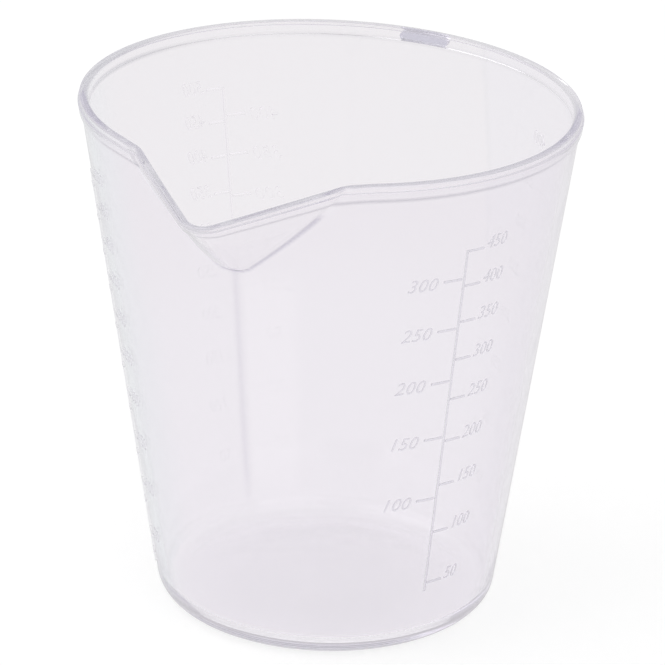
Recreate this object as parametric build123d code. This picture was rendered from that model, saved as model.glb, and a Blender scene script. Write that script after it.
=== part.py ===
from build123d import *
import math
import os

os.makedirs("parts", exist_ok=True)

# The cup stands on the XY plane with its base centred on the origin, and pours towards -Y.
# All lengths are in millimetres and all angles in degrees.

# Wall, outside sizes: a round base that opens into a mouth slightly flattened front to back,
# with the mouth's centre moved forward
cup_height = 112.6
mouth_half_width = 52.5
mouth_half_depth = 49.0
mouth_forward = 3.8
base_radius = 35.6
base_corner_radius = 5.4
wall_thickness = 1.8
floor_thickness = 2.0
inner_corner_radius = 4.0

# Underside, a foot ring round a shallow domed recess
foot_ring_width = 3.0
foot_recess_depth = 0.7

# Rim, a bead that runs round the wall and the spout just under the lip
bead_drop = 1.3
bead_height = 1.9
bead_proud = 0.5

# Pouring spout, a rounded V in plan whose keel curves down and back into the wall.
# Each reach is from the wall out to the sharp corner that the keel's rounding cuts off
spout_half_angle = 41
spout_keel_radius = 5.6
spout_reach = 21.4
spout_belly_depth = 14.6
spout_belly_reach = 11.3
spout_depth = 21.5
spout_foot_reach = 3.1
spout_hinge = 46.0
spout_slope = 16.0
lip_bend_radius = 12.0
spout_root_share = 0.72

# Thick lug on the back of the bead, opposite the spout
lug_width = 11.3
lug_proud = 1.4

# Raised scales, each with an upright line and level marks on both sides of it. The line starts
# a little below the lowest mark and ends level with the highest one.
# Top mark heights are above the standing plane, and marks are equal steps of volume below them
mark_relief = 0.3
mark_width = 0.45
mark_gap = 0.2
line_foot = 1.9
left_mark_length = 4.2
right_mark_length = 3.6
short_mark_length = 2.4
sugar_top_mark = 95.7
flour_top_mark = 89.4
volume_top_mark = 97.9
half_step_top_mark = 94.2
salt_top_mark = 98.4
rice_top_mark = 92.3
semolina_top_mark = 96.8
oats_top_mark = 88.0
front_scale_angle = 57
back_scale_angle = 129

# How far cutting and growing solids run past what they work on
overrun = 3.0

cubic_mm_per_ml = 1000


# Wall sizes at a height, as (half width, half depth, centre Y)
def wall_at(height, inset=0):
    share = height / cup_height
    half_width = base_radius + (mouth_half_width - base_radius) * share - inset
    half_depth = base_radius + (mouth_half_depth - base_radius) * share - inset
    return half_width, half_depth, -mouth_forward * share


# How far the wall's outside reaches forward of the origin
def front_reach(height):
    half_width, half_depth, centre_y = wall_at(height)
    return half_depth - centre_y


def wall_solid(inset, low, high):
    sections = []
    for height in (low, high):
        half_width, half_depth, centre_y = wall_at(height, inset)
        plane = Plane(origin=(0, centre_y, height))
        sections.append(plane * Ellipse(half_width, half_depth))
    return loft(sections, ruled=True)


# A level slice of the spout: a V with a rounded corner, closed by a straight back inside the cup
def spout_section(height, reach, inset):
    corner = front_reach(height) + reach - inset / math.sin(math.radians(spout_half_angle))
    root = spout_root_share * front_reach(height)
    half_width = (corner - root) * math.tan(math.radians(spout_half_angle))
    outline = Polyline((-half_width, -root), (0, -corner), (half_width, -root), close=True)
    face = make_face(outline)
    face = fillet(face.vertices().sort_by(Axis.Y)[0], spout_keel_radius - inset)
    return Plane(origin=(0, 0, height)) * face


def spout_solid(inset):
    steepness = (spout_reach - spout_belly_reach) / spout_belly_depth
    top_reach = spout_reach + steepness * overrun
    sections = [
        spout_section(cup_height - spout_depth, spout_foot_reach, inset),
        spout_section(cup_height - spout_belly_depth, spout_belly_reach, inset),
        spout_section(cup_height + overrun, top_reach, inset),
    ]
    return loft(sections)


# Everything between two copies of the lip's line, seen from the side: level round the cup, then
# sloping down over the spout. Each copy lies the given drop under the lip
def lip_slab(top_drop, bottom_drop):
    back = mouth_half_width + overrun
    front = front_reach(cup_height) + spout_reach + overrun
    fall = (front - spout_hinge) * math.tan(math.radians(spout_slope))
    high = cup_height - top_drop
    low = cup_height - bottom_drop
    outline = Polyline(
        (back, high),
        (-spout_hinge, high),
        (-front, high - fall),
        (-front, low - fall),
        (-spout_hinge, low),
        (back, low),
        close=True,
    )
    face = make_face(outline)
    bends = face.vertices().group_by(Axis.X)[1]
    face = fillet(bends, lip_bend_radius)
    side = Plane(origin=(-back, 0, 0), x_dir=(0, 1, 0), z_dir=(1, 0, 0)) * face
    return extrude(side, amount=back + back)


# A ball so large and low that only its crown rises into the underside, as wide as the recess
def make_recess():
    recess_radius = base_radius - base_corner_radius - foot_ring_width
    dome_radius = (recess_radius**2 + foot_recess_depth**2) / (2 * foot_recess_depth)
    return Pos(0, 0, foot_recess_depth - dome_radius) * Sphere(dome_radius)


def make_cup_body():
    top = cup_height + overrun
    floor_top = foot_recess_depth + floor_thickness

    outer_wall = wall_solid(0, 0, top)
    outer_wall = fillet(outer_wall.edges().group_by(Axis.Z)[0], base_corner_radius)
    inner_wall = wall_solid(wall_thickness, floor_top, top)
    inner_wall = fillet(inner_wall.edges().group_by(Axis.Z)[0], inner_corner_radius)
    hollow = inner_wall + spout_solid(wall_thickness)

    bead = wall_solid(-bead_proud, cup_height / 2, top) + spout_solid(-bead_proud)
    bead = bead & lip_slab(bead_drop, bead_drop + bead_height)

    lug_middle = cup_height - bead_drop - bead_height / 2
    half_width, half_depth, centre_y = wall_at(lug_middle, wall_thickness / 2)
    lug_root = Plane(origin=(0, half_depth + centre_y, lug_middle), x_dir=(1, 0, 0), z_dir=(0, 1, 0))
    lug_length = wall_thickness / 2 + bead_proud + lug_proud
    lug = extrude(lug_root * SlotOverall(lug_width, bead_height), amount=lug_length)

    body = outer_wall + spout_solid(0) + bead + lug - hollow
    return body - lip_slab(-spout_depth, 0) - make_recess()


# Space inside the cup from the floor up to a height
def space_below(height):
    floor_top = foot_recess_depth + floor_thickness
    width, depth, centre_y = wall_at(0, wall_thickness)
    top_width, top_depth, centre_y = wall_at(cup_height, wall_thickness)
    width_rate = (top_width - width) / cup_height
    depth_rate = (top_depth - depth) / cup_height
    space = 0
    for end, sign in ((height, 1), (floor_top, -1)):
        level = width * depth * end
        level += (width * depth_rate + depth * width_rate) * end**2 / 2
        level += width_rate * depth_rate * end**3 / 3
        space += sign * math.pi * level
    return space


# Height at which the cup holds a share of what it holds at the top mark
def mark_height(top_mark, share):
    low, high = 0, top_mark
    for step in range(40):
        middle = (low + high) / 2
        if space_below(middle) < share * space_below(top_mark):
            low = middle
        else:
            high = middle
    return high


# Place on the wall at an angle from the spout, and the level direction along the wall there
def on_wall(angle, height):
    turn = math.radians(angle - 90)
    half_width, half_depth, centre_y = wall_at(height)
    point = Vector(half_width * math.cos(turn), centre_y + half_depth * math.sin(turn), height)
    along = Vector(-half_width * math.sin(turn), half_depth * math.cos(turn), 0).normalized()
    return point, along


# The thin layer that stands proud of the wall, from which the marks are cut
def make_relief_layer():
    low = base_corner_radius
    high = cup_height - bead_drop - bead_height
    return wall_solid(-mark_relief, low, high) - wall_solid(0, low, high)


def make_marks(layer, angle, side, top_mark, readings, length):
    marks = []
    for reading in readings:
        height = mark_height(top_mark, reading / readings[-1])
        point, along = on_wall(angle, height)
        middle = point + along * side * (mark_width / 2 + mark_gap + length / 2)
        place = Plane(origin=middle, x_dir=along, z_dir=(0, 0, 1))
        block = place * Box(length, wall_thickness * 2, mark_width)
        marks.extend((layer & block).solids())
    return marks


def make_line(layer, angle, low, high):
    foot, along = on_wall(angle, low)
    head, along = on_wall(angle, high)
    rise = head - foot
    place = Plane(origin=foot + rise / 2, x_dir=along, z_dir=rise)
    return (layer & (place * Box(mark_width, wall_thickness * 2, rise.length))).solids()


def save(node, solids):
    group = Compound(children=solids)
    print(node, group.is_valid, len(solids), round(group.volume, 2))
    export_step(group, "parts/" + node + ".step")


# Each scale, as (name, angle from the spout, left column, right column), where a column is
# (height of its top mark, readings from the lowest to the top mark, length of its marks)
scales = [
    (
        "front_right_scale",
        front_scale_angle,
        (flour_top_mark, range(100, 301, 50), left_mark_length),
        (sugar_top_mark, range(50, 451, 50), right_mark_length),
    ),
    (
        "front_left_scale",
        -front_scale_angle,
        (half_step_top_mark, range(25, 476, 50), short_mark_length),
        (volume_top_mark, range(50, 501, 50), right_mark_length),
    ),
    (
        "back_left_scale",
        -back_scale_angle,
        (rice_top_mark, range(50, 401, 50), left_mark_length),
        (salt_top_mark, range(50, 501, 50), right_mark_length),
    ),
    (
        "back_right_scale",
        back_scale_angle,
        (oats_top_mark, range(50, 251, 50), left_mark_length),
        (semolina_top_mark, range(50, 401, 50), right_mark_length),
    ),
]

save("cup_body", make_cup_body().solids())
layer = make_relief_layer()
for name, angle, left, right in scales:
    lowest = cup_height
    highest = 0
    for column_name, side, column in (("left", -1, left), ("right", 1, right)):
        top_mark, readings, length = column
        save(name + "_" + column_name + "_marks", make_marks(layer, angle, side, top_mark, readings, length))
        lowest = min(lowest, mark_height(top_mark, readings[0] / readings[-1]))
        highest = max(highest, top_mark)
    save(name + "_line", make_line(layer, angle, lowest - line_foot, highest + mark_width / 2))
print("held at the top volume mark", round(space_below(volume_top_mark) / cubic_mm_per_ml, 1), "ml")
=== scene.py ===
import math

import bpy
import numpy as np
from mathutils import Matrix, Vector


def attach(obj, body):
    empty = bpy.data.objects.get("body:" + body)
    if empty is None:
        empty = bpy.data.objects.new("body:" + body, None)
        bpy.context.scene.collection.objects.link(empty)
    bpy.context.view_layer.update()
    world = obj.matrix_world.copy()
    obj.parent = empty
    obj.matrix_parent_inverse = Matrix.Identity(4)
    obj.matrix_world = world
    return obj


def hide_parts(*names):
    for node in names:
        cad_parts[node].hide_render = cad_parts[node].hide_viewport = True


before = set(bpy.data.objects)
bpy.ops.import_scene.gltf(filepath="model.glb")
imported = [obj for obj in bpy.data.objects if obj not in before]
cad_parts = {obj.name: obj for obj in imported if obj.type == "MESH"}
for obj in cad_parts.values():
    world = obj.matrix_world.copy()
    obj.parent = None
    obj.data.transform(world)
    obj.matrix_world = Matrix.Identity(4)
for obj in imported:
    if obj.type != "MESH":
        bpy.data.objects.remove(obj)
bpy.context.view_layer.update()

# The cup is shaped in millimetres and brought to metres at the end. The studio is in metres.
# Angles round the cup count from the spout, and are positive towards +X.
MM = 0.001

# Wall of the cup: a round base that opens into an oval mouth set forward
CUP_HEIGHT = 112.6
MOUTH_HALF_WIDTH = 52.5
MOUTH_HALF_DEPTH = 49.0
MOUTH_FORWARD = 3.8
BASE_RADIUS = 35.6
BASE_CORNER = 5.4
WALL = 1.8
FLOOR = 2.0
INNER_CORNER = 4.0

# Underside: a foot ring round a shallow dome, whose curve takes up most of the recess
FOOT_RING = 3.0
FOOT_RECESS = 0.7
DOME_SHARE = 0.8
RING_EDGE_ROUNDING = 60

# Rim: the bead under the lip, and the lip's rounding
BEAD_DROP = 1.3
BEAD_HEIGHT = 1.9
BEAD_PROUD = 0.46
BEAD_ROUNDING = 0.14
BEAD_ROOT_ROUNDING = 0.2
LIP_ROUNDING = 0.35

# Spout: a rounded V in plan, whose keel runs through three (height, reach past the wall) places.
# Its sides are cut off at an angle from the keel, which the span gives as a cosine
SPOUT_HALF_ANGLE = math.radians(41)
SPOUT_KEEL_RADIUS = 5.6
SPOUT_KEEL = ((91.1, 3.1), (98.0, 11.3), (115.6, 23.38))
SPOUT_HINGE = 46.0
SPOUT_SLOPE = math.tan(math.radians(16))
SPOUT_BEND = 1.7
SPOUT_FOOT = 86.0
SPOUT_SPAN = math.cos(math.radians(49))

# Crease where the spout's sides meet the wall, with a groove that starts above the spout's foot
CREASE_ROUNDING = 0.4
CREASE_WIDTH = 0.35
GROOVE_DEPTH = 0.55
GROOVE_START = 4
GROOVE_FADE = 3

# Lug at the back of the bead, a bar whose ends are rounded by nearly half its height
LUG_WIDTH = 11.3
LUG_PROUD = 1.4
LUG_ROOT = 0.4
LUG_ROUNDING = 0.3
LUG_END_SHARE = 0.49

# Knit line in the wall under the spout
KNIT_ANGLE = math.radians(0.7)
KNIT_WIDTH = 0.8
KNIT_PROUD = 0.26
KNIT_FOOT = 38.0
KNIT_FOOT_FADE = 12.0
KNIT_TOP = 92.0
KNIT_TOP_FADE = 1.5

# Lathe columns round the cup, drawn closer together at the spout, and the longest steps along
# its section: in runs that start near the floor, in the wall, and above the spout's foot
COLUMNS = 480
COLUMN_CROWDING = 0.6
NEAR_FLOOR = 6
FLOOR_STEP = 4.0
WALL_STEP = 5.0
SPOUT_STEP = 0.62

# Small numbers of the shaping: welding distances, slack of a comparison, a divisor's lower
# limit, the turn by which the wall's direction is measured, how often the lip's height is
# worked out again, and the edge angles up to which lug and numbers are shaded smooth
WELD = 0.001
FINE_WELD = 0.0005
SLACK = 0.01
SMALLEST_DIVISOR = 0.05
NUDGE = 1e-4
LIP_PASSES = 6
LUG_SMOOTHING = math.radians(40)
DIGIT_SMOOTHING = math.radians(50)

# Colours of the cup's plastic all over, and the painted light and shade laid over it
INNER_TINT = (0.980, 0.966, 0.987)
OUTER_TINT = (0.955, 0.936, 0.964)
# Painted shade in the crease where the spout's sides meet the wall
CREASE_PAINTED_SHADE = (0.42, 0.39, 0.51)
# Painted shade along the knit line
KNIT_PAINTED_SHADE = (0.81, 0.785, 0.84)
# Painted highlight beside the knit line
PAINTED_HIGHLIGHT = (0.995, 0.975, 1.0)
# Painted reflections of the studio in zones round the cup, and a painted darker upright line on the
# far wall
RIGHT_PAINTED_REFLECTION = (0.91, 0.885, 0.93)
LEFT_PAINTED_REFLECTION = (0.895, 0.915, 0.94)
BACK_PAINTED_REFLECTION = (0.905, 0.88, 0.925)
FAR_PAINTED_REFLECTION = (0.924, 0.894, 0.922)
BACK_LINE_PAINTED_REFLECTION = (0.865, 0.845, 0.88)
# Painted shade on the shelf under the bead and on the lip
SHELF_PAINTED_SHADE = (0.56, 0.55, 0.60)
INNER_LIP_PAINTED_SHADE = (0.70, 0.70, 0.75)
OUTER_LIP_PAINTED_SHADE = (0.84, 0.83, 0.88)

# Painted shade of the lug and of the raised marks, and colours of trapped light as it leaves the
# plastic
LUG_PAINTED_SHADE = (0.70, 0.70, 0.78, 1)
# Painted shade of the raised marks, paler on the front left scale
MARK_PAINTED_SHADE = (0.76, 0.75, 0.80, 1)
SOFT_MARK_PAINTED_SHADE = (0.86, 0.85, 0.88, 1)
ESCAPE_TINT = (0.985, 0.978, 0.990, 1)
WHITE = (1, 1, 1, 1)

# Where the cup's painted light and shade lie, as degrees round the cup or as heights. Four numbers
# say where a zone starts, is full, is last full and ends, and two where it starts and is full
RIGHT_ZONE = (55, 95, 118, 150)
LEFT_ZONE = (-100, -80, -50, -25)
BRIGHT_ZONE = (1.2, 3.5, 13, 18)
BRIGHT_HEIGHTS = (36, 46, 88, 94)
KNIT_HEIGHTS = (34, 46, 90, 93)
CREASE_HEIGHTS = (89, 92, 104.5, 106.5)
FAR_OPPOSITE = 24
FAR_ZONE = (95, 115)
FAR_HEIGHTS = (45, 75)
BACK_ZONE = (100, 115)
BACK_HEIGHTS = (70, 80)
BACK_LINE_HEIGHTS = (62, 75)
RIM_FADE_ZONE = (90, 120)

# The back zone's edge leans: its place at a height, its lean, its softness and its line's width
BACK_EDGE = 147
BACK_EDGE_HEIGHT = 60
BACK_EDGE_LEAN = 0.27
BACK_EDGE_SOFTNESS = 1.5
BACK_LINE_WIDTH = 0.8

# How much the rim's painted shade fades at the back, and how far the painted shade of the shelf and
# the lip reaches up and down
RIM_FADE = 0.7
SHELF_REACH = 0.22
LIP_REACH = 0.3

# Roughness of the plastic: all over, on the raised marks, and what handling adds to it
POLISH = 0.02
MARK_POLISH = 0.2
SOFT_MARK_POLISH = 0.12
HANDLING = 0.04
HANDLING_SCALE = 900.0

# Slight sway of the moulded surface, in metres
SWAY = 0.0006
SWAY_STRENGTH = 0.25
SWAY_SCALE = 55.0

# The plastic's refraction, and the cast that it takes on with its thickness
REFRACTION = 1.49
CAST = (0.50, 0.44, 0.66, 1)
CAST_DENSITY = 4.5

# Bounces after which light that is trapped in the wall's edges leaves the plastic, and bounces
# below which a raised mark has nothing in front of it
TRAPPED_AFTER = 4.5
IN_FRONT_BELOW = 0.5

# Raised numbers beside the marks: type size, slant and spacing, how far they stand out, the
# rounding of their edges, and how much thinner than the type they are
DIGIT_SIZE = 4.1
DIGIT_SLANT = 0.28
DIGIT_SPACING = 1.04
DIGIT_RELIEF = 0.14
DIGIT_ROUNDING = 0.06
DIGIT_THINNING = 0.075

# Columns of numbers left and right of a scale's line, as (side, far end of the marks from the
# line, gap between mark and number, how far the numbers sit above the marks, their width)
COLUMNS_OF_NUMBERS = (
    (-1, 4.6, 1.5, -0.4, 1.0),
    (1, 4.0, 0.7, 0.8, 0.82),
)

# Scales, as (name, angle from the spout, left column, right column), where a column is
# (height of its top mark, its readings from the lowest to the top mark)
SCALES = (
    ("front_right_scale", 57, (89.4, range(100, 301, 50)), (95.7, range(50, 451, 50))),
    ("front_left_scale", -57, None, (97.9, range(50, 501, 50))),
    ("back_left_scale", -129, (92.3, range(50, 401, 50)), (98.4, range(50, 501, 50))),
    ("back_right_scale", 129, (88.0, range(50, 251, 50)), (96.8, range(50, 401, 50))),
)

# Steps in which the cup's content is added up, and how often a mark's height is halved in on
CONTENT_STEPS = 200
HALVINGS = 30

# Glow of the floor and of the room, as seen by the camera, through plastic and mirrored in it.
# The floor is a little darker under the cup, and the room overhead is darker than at the sides
FLOOR_SIZE = 40
FLOOR_BELOW = 0.0001
FLOOR_COLOUR = (0.4, 0.4, 0.4, 1)
FLOOR_SEEN = 0.72
FLOOR_THROUGH = 0.605
FLOOR_MIRRORED = 0.5
CONTACT_SHADE = 0.87
CONTACT_REACH = (0.012, 0.044)
ROOM_GLOW = 0.6
ROOM_SEEN_MORE = 0.4
ROOM_SIDES_MORE = 0.32
ROOM_OVERHEAD_MORE = 0.05
ROOM_OVERHEAD = (0.35, 0.75)
ROOM_MIRRORED_SHARE = 0.45

# Soft lamps, as (name, place, size, power), all aimed at the cup's middle
LAMPS = (
    ("key_softbox", (-0.7, -0.5, 0.9), 1.2, 4.0),
    ("fill_softbox", (0.8, -0.6, 0.7), 1.0, 2.0),
)
LAMP_AIM = (0, 0, 0.06)

# Camera, fitted to the photo's outline
CAMERA_AZIMUTH = math.radians(23.98)
CAMERA_ELEVATION = math.radians(22.86)
CAMERA_ROLL = 0.026
CAMERA_DISTANCE = 0.9847
CAMERA_AIM = (0, 0, 0.0636)
SENSOR_WIDTH = 36
FOCAL_LENGTH = 253.13
FRAME_SHIFT = -0.03151


def radius_at(height):
    return BASE_RADIUS + (MOUTH_HALF_WIDTH - BASE_RADIUS) * height / CUP_HEIGHT


def oval_at(height):
    """Half width, half depth and forward shift of the wall's outside at a height."""
    share = height / CUP_HEIGHT
    half_depth = BASE_RADIUS + (MOUTH_HALF_DEPTH - BASE_RADIUS) * share
    return radius_at(height), half_depth, MOUTH_FORWARD * share


def wall_reach(angle, height):
    """Distance from the cup's axis to the wall's outside."""
    half_width, half_depth, forward = oval_at(height)
    across, ahead = np.sin(angle), np.cos(angle)
    a = (across / half_width) ** 2 + (ahead / half_depth) ** 2
    b = -2 * ahead * forward / half_depth**2
    c = (forward / half_depth) ** 2 - 1
    return (-b + np.sqrt(b * b - 4 * a * c)) / (2 * a)


def keel_corner(height):
    """How far forward the spout's V would come to a point at a height."""
    places = []
    for keel_height, reach in SPOUT_KEEL:
        _, half_depth, forward = oval_at(keel_height)
        places.append((keel_height, half_depth + forward + reach))
    (z1, c1), (z2, c2), (z3, c3) = places
    low_slope = (c2 - c1) / (z2 - z1)
    high_slope = (c3 - c2) / (z3 - z2)
    bend = (high_slope - low_slope) / (z3 - z1)
    return c1 + low_slope * (height - z1) + bend * (height - z1) * (height - z2)


def spout_reach(angle, height):
    """Distance from the cup's axis to the spout's outside, or 0 where the spout isn't."""
    corner = keel_corner(height)
    slope = math.tan(SPOUT_HALF_ANGLE)
    across, ahead = np.abs(np.sin(angle)), np.cos(angle)
    side = corner * slope / np.maximum(across + ahead * slope, SMALLEST_DIVISOR)
    middle = corner - SPOUT_KEEL_RADIUS / math.sin(SPOUT_HALF_ANGLE)
    inside = np.maximum(SPOUT_KEEL_RADIUS**2 - (middle * across) ** 2, 0)
    tip = middle * ahead + np.sqrt(inside)
    tangent_across = SPOUT_KEEL_RADIUS * math.cos(SPOUT_HALF_ANGLE)
    tangent_ahead = middle + SPOUT_KEEL_RADIUS * math.sin(SPOUT_HALF_ANGLE)
    on_tip = across * tangent_ahead < ahead * tangent_across
    reach = np.where(on_tip, tip, side)
    return np.where((height > SPOUT_FOOT) & (ahead > SPOUT_SPAN), reach, 0)


def soft_larger(first, second, blend):
    gap = np.clip(0.5 + 0.5 * (first - second) / blend, 0, 1)
    return second + (first - second) * gap + blend * gap * (1 - gap)


def outline(angle, height):
    """The cup's outside at each angle and height, as places along X and Y."""
    reach = soft_larger(wall_reach(angle, height), spout_reach(angle, height), CREASE_ROUNDING)
    return reach * np.sin(angle), -reach * np.cos(angle)


def lip_drop(y):
    """How far the lip lies under the cup's height, which it does only over the spout."""
    ahead = -y - SPOUT_HINGE
    bend = (ahead + SPOUT_BEND) ** 2 / (4 * SPOUT_BEND)
    bent = np.where(ahead < -SPOUT_BEND, 0, bend)
    return SPOUT_SLOPE * np.where(ahead > SPOUT_BEND, ahead, bent)


def knit_share(angle, height):
    """How near a point is to the knit line, from 0 to 1."""
    across = radius_at(height) * (angle - KNIT_ANGLE)
    return np.exp(-((across / KNIT_WIDTH) ** 2))


def knit_ridge(angle, height):
    """Height of the thin upright ridge where the melt closed under the spout."""
    rise = np.clip((height - KNIT_FOOT) / KNIT_FOOT_FADE, 0, 1)
    fade = np.clip((KNIT_TOP - height) / KNIT_TOP_FADE, 0, 1)
    return KNIT_PROUD * knit_share(angle, height) * rise * fade


def crease_share(angle, height):
    """How near a point is to where the spout's sides meet the wall, from 0 to 1."""
    apart = wall_reach(angle, height) - spout_reach(angle, height)
    return np.exp(-((apart / CREASE_WIDTH) ** 2))


def crease_groove(angle, height):
    """Depth of the groove in the crease."""
    rise = np.clip((height - SPOUT_FOOT - GROOVE_START) / GROOVE_FADE, 0, 1)
    return GROOVE_DEPTH * crease_share(angle, height) * rise


def smooth_step(value, start, end):
    share = np.clip((value - start) / (end - start), 0, 1)
    return share * share * (3 - 2 * share)


def band(value, start, full, last, end):
    return smooth_step(value, start, full) * (1 - smooth_step(value, last, end))


def tint_plastic(angle, height, depth, lathe_height):
    """Colour of the plastic at each point of the cup, with painted shade, a painted highlight and
    painted reflections laid over it.

    Depth counts outward from the wall's outside, and lathe_height is the point's height
    before the lip was lowered over the spout."""
    degrees = np.degrees(angle)
    outside = depth > -WALL / 2
    tint = np.where(outside[:, None], OUTER_TINT, INNER_TINT)

    far = smooth_step(np.abs(degrees - FAR_OPPOSITE), *FAR_ZONE)
    back_edge = BACK_EDGE + (height - BACK_EDGE_HEIGHT) * BACK_EDGE_LEAN
    back = band(degrees, *BACK_ZONE, back_edge, back_edge + BACK_EDGE_SOFTNESS)
    back_line = np.exp(-(((degrees - back_edge) / BACK_LINE_WIDTH) ** 2))
    bright = band(degrees, *BRIGHT_ZONE)
    rim = 1 - RIM_FADE * smooth_step(np.abs(degrees), *RIM_FADE_ZONE)
    shelf_height = CUP_HEIGHT - BEAD_DROP - BEAD_HEIGHT
    shelf = np.where(np.abs(lathe_height - shelf_height) < SHELF_REACH, rim, 0)
    lip = np.where(lathe_height > CUP_HEIGHT - LIP_REACH, rim, 0)
    crease = crease_share(angle, height) * band(height, *CREASE_HEIGHTS)

    # Painted light and shade over the plastic's colour: studio reflections in zones round the cup
    # and a darker upright line on the far wall, a highlight beside the knit line, and shade along
    # the knit line, in the crease, on the shelf under the bead and on the lip
    for colour, skin, share in (
        (RIGHT_PAINTED_REFLECTION, outside, band(degrees, *RIGHT_ZONE)),
        (LEFT_PAINTED_REFLECTION, outside, band(degrees, *LEFT_ZONE)),
        (FAR_PAINTED_REFLECTION, outside, far * smooth_step(height, *FAR_HEIGHTS)),
        (BACK_PAINTED_REFLECTION, outside, back * smooth_step(height, *BACK_HEIGHTS)),
        (BACK_LINE_PAINTED_REFLECTION, outside, back_line * smooth_step(height, *BACK_LINE_HEIGHTS)),
        (PAINTED_HIGHLIGHT, outside, bright * band(height, *BRIGHT_HEIGHTS)),
        (KNIT_PAINTED_SHADE, outside, knit_share(angle, height) * band(height, *KNIT_HEIGHTS)),
        (CREASE_PAINTED_SHADE, outside, crease),
        (SHELF_PAINTED_SHADE, outside, shelf),
        (OUTER_LIP_PAINTED_SHADE, outside, lip),
        (INNER_LIP_PAINTED_SHADE, ~outside, lip),
    ):
        tint = tint + (np.array(colour) - tint) * np.where(skin, share, 0)[:, None]
    return np.concatenate([tint, np.ones((len(tint), 1))], 1)


def shape_cup(points):
    """Moves the points of a round lathe turning onto the oval wall with its spout.

    Returns their places and, at each, the plastic's colour with the painted light and shade laid
    over it."""
    x, y, z = points.T
    turned = np.arctan2(x, -y)
    angle = turned - COLUMN_CROWDING * np.sin(turned)
    radius = np.hypot(x, y)
    skin = radius_at(z)
    depth = radius - skin

    drop = np.zeros_like(z)
    for _ in range(LIP_PASSES):
        _, edge_y = outline(angle, CUP_HEIGHT - drop)
        drop = lip_drop(edge_y)
    height = z - drop * np.clip((z - SPOUT_FOOT) / (CUP_HEIGHT - SPOUT_FOOT), 0, 1)

    left = np.stack(outline(angle - NUDGE, height))
    right = np.stack(outline(angle + NUDGE, height))
    middle = np.stack(outline(angle, height))
    along = right - left
    along /= np.linalg.norm(along, axis=0)
    outward = np.stack([-along[1], along[0]])
    outward *= np.sign((outward * middle).sum(0))

    relief = knit_ridge(angle, height) - crease_groove(angle, height)
    relief = np.where(depth > -WALL / 2, relief, 0)
    wall_point = middle + outward * (np.maximum(depth, -WALL) + relief)
    floor_share = np.clip(radius / np.maximum(skin - WALL, 1), 0, 1)
    floor_point = (middle - outward * WALL) * floor_share
    point = np.where(depth < -WALL, floor_point, wall_point)
    places = np.stack([point[0], point[1], height], 1)
    return places, tint_plastic(angle, height, depth, z)


def select_none():
    for piece in bpy.context.selected_objects:
        piece.select_set(False)
    bpy.context.view_layer.objects.active = None


def start_piece(name, points, edges):
    mesh = bpy.data.meshes.new(name)
    mesh.from_pydata(points, edges, [])
    piece = bpy.data.objects.new(name, mesh)
    bpy.context.scene.collection.objects.link(piece)
    select_none()
    piece.select_set(True)
    bpy.context.view_layer.objects.active = piece
    return piece


def weld(distance):
    """Joins the doubled points of the active piece and turns its faces outward."""
    bpy.ops.object.mode_set(mode="EDIT")
    bpy.ops.mesh.select_all(action="SELECT")
    bpy.ops.mesh.remove_doubles(threshold=distance)
    bpy.ops.mesh.normals_make_consistent(inside=False)
    bpy.ops.object.mode_set(mode="OBJECT")


def points_of(piece):
    places = np.empty(len(piece.data.vertices) * 3)
    piece.data.vertices.foreach_get("co", places)
    return places.reshape(-1, 3)


def move_points(piece, places):
    """Puts the piece's points at places given in millimetres."""
    piece.data.vertices.foreach_set("co", (places * MM).ravel())
    piece.data.update()


def arc(corner, before, after, radius, steps):
    """Points round a corner of a profile, between the runs to the places before and after it."""
    corner, before, after = Vector(corner), Vector(before), Vector(after)
    back = (before - corner).normalized()
    on = (after - corner).normalized()
    half = back.angle(on) / 2
    reach = radius / math.tan(half)
    middle = corner + (back + on).normalized() * (radius / math.sin(half))
    first = corner + back * reach - middle
    last = corner + on * reach - middle
    turn = first.angle(last)
    spread = math.sin(turn)
    points = []
    for step in range(steps + 1):
        share = step / steps
        first_part = first * (math.sin((1 - share) * turn) / spread)
        last_part = last * (math.sin(share * turn) / spread)
        points.append(middle + (first_part + last_part))
    return points


def longest_step(start, end):
    """How long a step of the profile may be between two places."""
    low = min(start.y, end.y)
    if low < NEAR_FLOOR:
        return FLOOR_STEP
    return SPOUT_STEP if low >= SPOUT_FOOT - SLACK else WALL_STEP


def divide(points):
    """The same line with its long runs divided into steps."""
    line = [points[0]]
    for start, end in zip(points, points[1:]):
        count = max(1, math.ceil((end - start).length / longest_step(start, end)))
        for step in range(1, count + 1):
            line.append(start.lerp(end, step / count))
    return line


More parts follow.
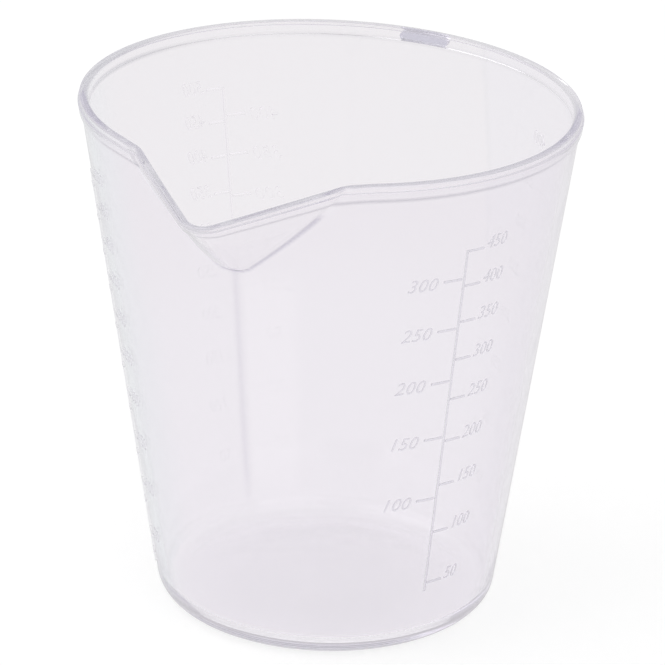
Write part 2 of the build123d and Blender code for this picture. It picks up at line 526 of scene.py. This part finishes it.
def cup_profile():
    """Half of the cup's section, from under its floor's middle over the lip to the floor's top."""
    ring = BASE_RADIUS - BASE_CORNER - FOOT_RING
    dome = (ring**2 + FOOT_RECESS**2) / (2 * FOOT_RECESS)
    floor_top = FOOT_RECESS + FLOOR
    crest = CUP_HEIGHT - BEAD_DROP
    under = crest - BEAD_HEIGHT
    # Each corner as (radius, height, rounding, steps of the rounding)
    corners = [
        (0, FOOT_RECESS, 0, 0),
        (ring / 2, FOOT_RECESS, dome * DOME_SHARE, 16),
        (ring, 0, RING_EDGE_ROUNDING, 6),
        (BASE_RADIUS, 0, BASE_CORNER, 12),
        (radius_at(under), under, BEAD_ROOT_ROUNDING, 2),
        (radius_at(under) + BEAD_PROUD, under, BEAD_ROUNDING, 4),
        (radius_at(crest) + BEAD_PROUD, crest, BEAD_ROUNDING, 4),
        (radius_at(crest), crest, BEAD_ROOT_ROUNDING, 2),
        (radius_at(CUP_HEIGHT), CUP_HEIGHT, LIP_ROUNDING, 6),
        (radius_at(CUP_HEIGHT) - WALL, CUP_HEIGHT, LIP_ROUNDING, 6),
        (radius_at(floor_top) - WALL, floor_top, INNER_CORNER, 12),
        (0, floor_top, 0, 0),
    ]
    line = []
    for index, (radius, height, rounding, steps) in enumerate(corners):
        here = (radius, height)
        if not rounding:
            line.append(Vector(here))
            continue
        line += arc(here, corners[index - 1][:2], corners[index + 1][:2], rounding, steps)

    # The line gets a point at the spout's foot, where its steps change
    cut = []
    for start, end in zip(line, line[1:]):
        cut.append(start)
        if (start.y - SPOUT_FOOT) * (end.y - SPOUT_FOOT) < 0:
            cut.append(start.lerp(end, (SPOUT_FOOT - start.y) / (end.y - start.y)))
    cut.append(line[-1])
    return divide(cut)


def turn_cup():
    """The cup, turned as a quarter, mirrored to a whole and moved onto its shape."""
    profile = [(point.x, 0, point.y) for point in cup_profile()]
    edges = [(index, index + 1) for index in range(len(profile) - 1)]
    cup = start_piece("moulded_cup", profile, edges)
    bpy.ops.object.mode_set(mode="EDIT")
    bpy.ops.mesh.select_all(action="SELECT")
    bpy.ops.mesh.spin(
        steps=COLUMNS // 4, angle=math.pi / 2, center=(0, 0, 0), axis=(0, 0, 1)
    )
    bpy.ops.object.mode_set(mode="OBJECT")
    mirror = cup.modifiers.new("other_quarters", "MIRROR")
    mirror.use_axis = (True, True, False)
    mirror.merge_threshold = WELD
    bpy.ops.object.modifier_apply(modifier=mirror.name)
    weld(WELD)
    bpy.ops.object.shade_smooth()
    places, tints = shape_cup(points_of(cup))
    tint = cup.data.attributes.new("tint", "FLOAT_COLOR", "POINT")
    tint.data.foreach_set("color", tints.ravel())
    move_points(cup, places)
    return cup


def round_edges(piece, wanted, rounding, segments):
    """Rounds the edges that are wanted, judged by the places of their ends along Y."""
    bpy.ops.object.mode_set(mode="EDIT")
    bpy.ops.mesh.select_mode(type="EDGE")
    bpy.ops.mesh.select_all(action="DESELECT")
    bpy.ops.object.mode_set(mode="OBJECT")
    for edge in piece.data.edges:
        first, second = (piece.data.vertices[index].co.y for index in edge.vertices)
        edge.select = wanted(first, second)
    bpy.ops.object.mode_set(mode="EDIT")
    bpy.ops.mesh.bevel(offset=rounding, segments=segments, affect="EDGES")
    bpy.ops.object.mode_set(mode="OBJECT")


def make_lug():
    """The thick lug on the back of the bead, a bar with round ends that grows out of it."""
    middle = CUP_HEIGHT - BEAD_DROP - BEAD_HEIGHT / 2
    _, half_depth, forward = oval_at(middle)
    face = half_depth - forward + BEAD_PROUD
    depth = LUG_ROOT + LUG_PROUD
    outer_face = face + LUG_PROUD - SLACK
    select_none()
    bpy.ops.mesh.primitive_cube_add(size=1, location=(0, face - LUG_ROOT + depth / 2, middle))
    lug = bpy.context.active_object
    lug.name = lug.data.name = "rim_lug"
    lug.scale = (LUG_WIDTH, depth, BEAD_HEIGHT)
    bpy.ops.object.transform_apply(location=True, rotation=False, scale=True)
    end_rounding = BEAD_HEIGHT * LUG_END_SHARE
    round_edges(lug, lambda a, b: abs(a - b) > depth / 2, end_rounding, segments=8)
    round_edges(lug, lambda a, b: min(a, b) > outer_face, LUG_ROUNDING, segments=4)
    weld(WELD)
    bpy.ops.object.shade_smooth_by_angle(angle=LUG_SMOOTHING)
    lug.data.transform(Matrix.Scale(MM, 4))
    return lug


def held_below(height):
    """Space inside the cup from its floor up to a height."""
    steps = np.linspace(FOOT_RECESS + FLOOR, height, CONTENT_STEPS)
    half_width, half_depth, _ = oval_at(steps)
    level = math.pi * (half_width - WALL) * (half_depth - WALL)
    return float(((level[1:] + level[:-1]) / 2 * np.diff(steps)).sum())


def mark_height(top_mark, share):
    """Height at which the cup holds a share of what it holds at the top mark."""
    low, high = FOOT_RECESS + FLOOR, top_mark
    for _ in range(HALVINGS):
        middle = (low + high) / 2
        if held_below(middle) < share * held_below(top_mark):
            low = middle
        else:
            high = middle
    return high


def wrap_on_wall(points, angle):
    """Places points, given as across, up and outward, on the wall at an angle in degrees."""
    across, height, outward = points.T
    half_width, half_depth, forward = oval_at(height)
    turn = math.radians(angle - 90)
    rate = np.hypot(half_width * math.sin(turn), half_depth * math.cos(turn))
    turn = turn + across / rate
    normal = np.stack([half_depth * np.cos(turn), half_width * np.sin(turn)])
    normal /= np.linalg.norm(normal, axis=0)
    x = half_width * np.cos(turn) + normal[0] * outward
    y = half_depth * np.sin(turn) - forward + normal[1] * outward
    return np.stack([x, y, height], 1)


def make_number(reading, height, column):
    """One raised number as a flat mesh beside its mark, still to be wrapped on the wall."""
    side, mark_end, gap, rise, stretch = column
    select_none()
    bpy.ops.object.text_add()
    number = bpy.context.active_object
    text = number.data
    text.body = str(reading)
    text.size = DIGIT_SIZE
    text.shear = DIGIT_SLANT
    text.space_character = DIGIT_SPACING
    text.align_x = "LEFT" if side > 0 else "RIGHT"
    text.align_y = "CENTER"
    text.resolution_u = 3
    text.offset = -DIGIT_THINNING
    text.extrude = DIGIT_RELIEF - DIGIT_ROUNDING
    text.bevel_depth = DIGIT_ROUNDING
    text.bevel_resolution = 2
    bpy.ops.object.convert(target="MESH")
    number = bpy.context.active_object
    number.data.transform(Matrix.Scale(stretch, 4, (1, 0, 0)))
    number.data.transform(Matrix.Translation((side * (mark_end + gap), height + rise, 0)))
    return number


def make_numbers(name, angle, left, right):
    """All the raised numbers of one scale, wrapped on the wall as one piece."""
    made = []
    for marks, column in zip((left, right), COLUMNS_OF_NUMBERS):
        if marks is None:
            continue
        top_mark, readings = marks
        for reading in readings:
            height = mark_height(top_mark, reading / readings[-1])
            made.append(make_number(reading, height, column))
    select_none()
    for number in made:
        number.select_set(True)
    bpy.context.view_layer.objects.active = made[0]
    bpy.ops.object.join()
    numbers = bpy.context.active_object
    numbers.name = numbers.data.name = name + "_numbers"
    weld(FINE_WELD)
    bpy.ops.object.shade_smooth_by_angle(angle=DIGIT_SMOOTHING)
    move_points(numbers, wrap_on_wall(points_of(numbers), angle))
    return numbers


class Wire:
    """A node's output, on which plain arithmetic adds Math nodes."""

    def __init__(self, finish, socket):
        self.finish = finish
        self.socket = socket

    def maths(self, operation, first, second):
        return self.finish.node("Math", {"operation": operation}, {0: first, 1: second})

    def __add__(self, other):
        return self.maths("ADD", self, other)

    __radd__ = __add__

    def __sub__(self, other):
        return self.maths("SUBTRACT", self, other)

    def __rsub__(self, other):
        return self.maths("SUBTRACT", other, self)

    def __mul__(self, other):
        return self.maths("MULTIPLY", self, other)

    __rmul__ = __mul__

    def __lt__(self, other):
        return self.maths("LESS_THAN", self, other)

    def __gt__(self, other):
        return self.maths("GREATER_THAN", self, other)


class Finish:
    """A tree of nodes: a new material's, or the one given."""

    def __init__(self, name, tree=None):
        if tree is None:
            self.material = bpy.data.materials.new(name)
            self.material.use_nodes = True
            tree = self.material.node_tree
        self.tree = tree
        self.tree.nodes.clear()

    def node(self, kind, settings=None, inputs=None, output=0):
        made = self.tree.nodes.new("ShaderNode" + kind)
        for name, value in (settings or {}).items():
            setattr(made, name, value)
        for name, value in (inputs or {}).items():
            socket = made.inputs[name]
            if isinstance(value, Wire):
                self.tree.links.new(value.socket, socket)
            else:
                socket.default_value = value
        if made.outputs:
            return Wire(self, made.outputs[output])
        return made


def clear_plastic(name, tint=None, raised_polish=None):
    """Clear moulded plastic; a tint, where one is given, is a painted shade. Without a tint it
    takes the colour that the piece carries, painted light and shade included.

    Raised marks have a duller polish and a painted darker tint, both only where nothing is in front
    of them."""
    finish = Finish(name)
    depth = finish.node("LightPath", output="Ray Depth")
    polish = POLISH
    escape_tint = ESCAPE_TINT
    if tint is None:
        tint = finish.node("Attribute", {"attribute_name": "tint"}, output="Color")
    if raised_polish is not None:
        # Painted shade: the marks' darker tint shows only on rays straight from the camera
        in_front = depth < IN_FRONT_BELOW
        # The colours of a Mix node are its inputs 6 and 7 and its output 2
        tint = finish.node("Mix", {"data_type": "RGBA"}, {0: in_front, 6: WHITE, 7: tint}, 2)
        polish = in_front * (raised_polish - POLISH) + POLISH
        escape_tint = WHITE
    place = finish.node("TexCoord", output="Object")
    sway = finish.node("TexNoise", {}, {
        "Vector": place,
        "Scale": SWAY_SCALE,
        "Detail": 2.0,
        "Roughness": 0.4,
    }, "Fac")
    handling = finish.node("TexNoise", {}, {
        "Vector": place,
        "Scale": HANDLING_SCALE,
        "Detail": 3.0,
    }, "Fac")
    bump = finish.node("Bump", {}, {
        "Strength": SWAY_STRENGTH,
        "Distance": SWAY,
        "Height": sway,
    }, "Normal")
    shader = finish.node("BsdfPrincipled", {}, {
        "Base Color": tint,
        "Roughness": polish + handling * HANDLING,
        "IOR": REFRACTION,
        "Transmission Weight": 1.0,
        "Normal": bump,
    }, "BSDF")
    escape = finish.node("BsdfTransparent", {}, {"Color": escape_tint}, "BSDF")
    trapped = depth > TRAPPED_AFTER
    surface = finish.node("MixShader", {}, {0: trapped, 1: shader, 2: escape}, "Shader")
    inside = finish.node("VolumeAbsorption", {}, {
        "Color": CAST,
        "Density": CAST_DENSITY,
    }, "Volume")
    finish.node("OutputMaterial", {}, {"Surface": surface, "Volume": inside})
    return finish.material


def dress(piece, material):
    piece.data.materials.clear()
    piece.data.materials.append(material)


def ray_kinds(finish):
    """Whether light goes straight to the camera, comes through plastic or is mirrored in it."""
    seen = finish.node("LightPath", output="Is Camera Ray")
    kinds = seen.socket.node.outputs
    through = Wire(finish, kinds["Is Transmission Ray"])
    mirrored = Wire(finish, kinds["Is Glossy Ray"]) * (1 - through)
    return seen, through, mirrored


def make_floor():
    bpy.ops.mesh.primitive_plane_add(size=FLOOR_SIZE, location=(0, 0, -FLOOR_BELOW))
    floor = bpy.context.active_object
    floor.name = "studio_floor"
    finish = Finish("pale_floor")
    seen, through, mirrored = ray_kinds(finish)
    place = finish.node("TexCoord", output="Object")
    reach = finish.node("VectorMath", {"operation": "LENGTH"}, {0: place}, "Value")
    # Painted shadow: the floor's glow seen through and mirrored in the plastic is lowered near the
    # cup
    apart = finish.node("MapRange", {"interpolation_type": "SMOOTHSTEP"}, {
        "Value": reach,
        "From Min": CONTACT_REACH[0],
        "From Max": CONTACT_REACH[1],
        "To Min": CONTACT_SHADE,
        "To Max": 1.0,
    }, "Result")
    strength = seen * FLOOR_SEEN + (through * FLOOR_THROUGH + mirrored * FLOOR_MIRRORED) * apart
    matt = finish.node("BsdfDiffuse", {}, {"Color": FLOOR_COLOUR}, "BSDF")
    glow = finish.node("Emission", {}, {"Color": WHITE, "Strength": strength}, "Emission")
    both = finish.node("AddShader", {}, {0: matt, 1: glow}, "Shader")
    finish.node("OutputMaterial", {}, {"Surface": both})
    dress(floor, finish.material)


def light_room():
    world = bpy.data.worlds.new("studio")
    bpy.context.scene.world = world
    world.use_nodes = True
    sky = Finish("studio", world.node_tree)
    seen, through, mirrored = ray_kinds(sky)
    place = sky.node("TexCoord", output="Generated")
    height = sky.node("SeparateXYZ", {}, {0: place}, "Z")
    more = sky.node("MapRange", {"interpolation_type": "SMOOTHSTEP"}, {
        "Value": height,
        "From Min": ROOM_OVERHEAD[0],
        "From Max": ROOM_OVERHEAD[1],
        "To Min": ROOM_SIDES_MORE,
        "To Max": ROOM_OVERHEAD_MORE,
    }, "Result")
    plastic_share = through + mirrored * ROOM_MIRRORED_SHARE
    strength = ROOM_GLOW + seen * ROOM_SEEN_MORE + plastic_share * more
    light = {"Color": WHITE, "Strength": strength}
    glow = sky.node("Background", {}, light, "Background")
    sky.node("OutputWorld", {}, {"Surface": glow})


def place_lamps():
    for name, place, size, power in LAMPS:
        lamp = bpy.data.lights.new(name, "AREA")
        lamp.shape = "SQUARE"
        lamp.size = size
        lamp.energy = power
        stand = bpy.data.objects.new(name, lamp)
        bpy.context.scene.collection.objects.link(stand)
        stand.location = place
        aim = Vector(LAMP_AIM) - Vector(place)
        stand.rotation_euler = aim.to_track_quat("-Z", "Y").to_euler()


def place_camera():
    back = Vector((
        math.sin(CAMERA_AZIMUTH) * math.cos(CAMERA_ELEVATION),
        -math.cos(CAMERA_AZIMUTH) * math.cos(CAMERA_ELEVATION),
        math.sin(CAMERA_ELEVATION),
    ))
    lens = bpy.data.cameras.new("photo_camera")
    lens.sensor_width = SENSOR_WIDTH
    lens.lens = FOCAL_LENGTH
    lens.shift_y = FRAME_SHIFT
    camera = bpy.data.objects.new("photo_camera", lens)
    bpy.context.scene.collection.objects.link(camera)
    camera.location = Vector(CAMERA_AIM) + back * CAMERA_DISTANCE
    level = (-back).to_track_quat("-Z", "Y").to_matrix()
    camera.rotation_euler = (level @ Matrix.Rotation(CAMERA_ROLL, 3, "Z")).to_euler()
    bpy.context.scene.camera = camera


place_camera()
light_room()
place_lamps()
make_floor()

plastic = clear_plastic("clear_moulded_plastic")
soft_marks = clear_plastic("soft_marks_painted_shade", SOFT_MARK_PAINTED_SHADE, SOFT_MARK_POLISH)
marks = clear_plastic("raised_marks_painted_shade", MARK_PAINTED_SHADE, MARK_POLISH)
# The lug's darker tint is painted shade for light bent in its thick plastic
thick = clear_plastic("thick_lug_painted_shade", LUG_PAINTED_SHADE)

cup = turn_cup()
dress(cup, plastic)
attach(cup, "root")
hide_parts("cup_body")

lug = make_lug()
dress(lug, thick)
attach(lug, "root")

for name, angle, left, right in SCALES:
    # The front left scale's marks get a paler painted shade than the other scales'
    relief = soft_marks if name == "front_left_scale" else marks
    for part in ("line", "left_marks", "right_marks"):
        dress(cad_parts[name + "_" + part], relief)
    numbers = make_numbers(name, angle, left, right)
    dress(numbers, relief)
    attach(numbers, "root")

bpy.context.scene.view_settings.view_transform = "Standard"
